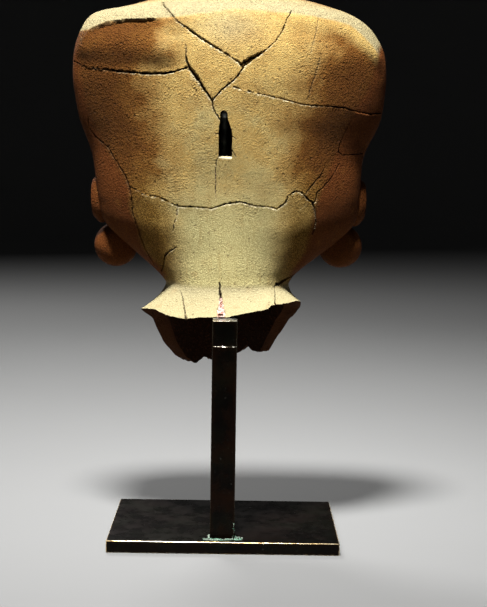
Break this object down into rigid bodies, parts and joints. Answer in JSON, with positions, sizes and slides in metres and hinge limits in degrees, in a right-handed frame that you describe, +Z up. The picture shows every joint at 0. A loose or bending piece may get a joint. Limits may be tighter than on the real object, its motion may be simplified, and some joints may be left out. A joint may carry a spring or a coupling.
{
  "type": "smiling head sculpture",
  "caption": "Hollow fired-clay head with a smiling face and headband, broken at the neck, on a square-bar stand with a flat plate.",
  "frame": {"origin": "centre of the base plate's underside", "axes": "+Z up, the face looks along -Y, +X is the head's left when seen from behind"},
  "size_m": [0.1683, 0.1143, 0.2934],
  "materials": {
    "fired_clay": "matte, grainy buff to red-brown earthenware",
    "patinated_brass": "brown-black patina, bright at worn edges",
    "dark_rod": "dark grey-green patina"
  },
  "bodies": {
    "root": {"head": "fired_clay", "base_plate": "patinated_brass", "post": "patinated_brass", "support_arm": "patinated_brass", "hanging_rod": "dark_rod"}
  },
  "joints": []
}
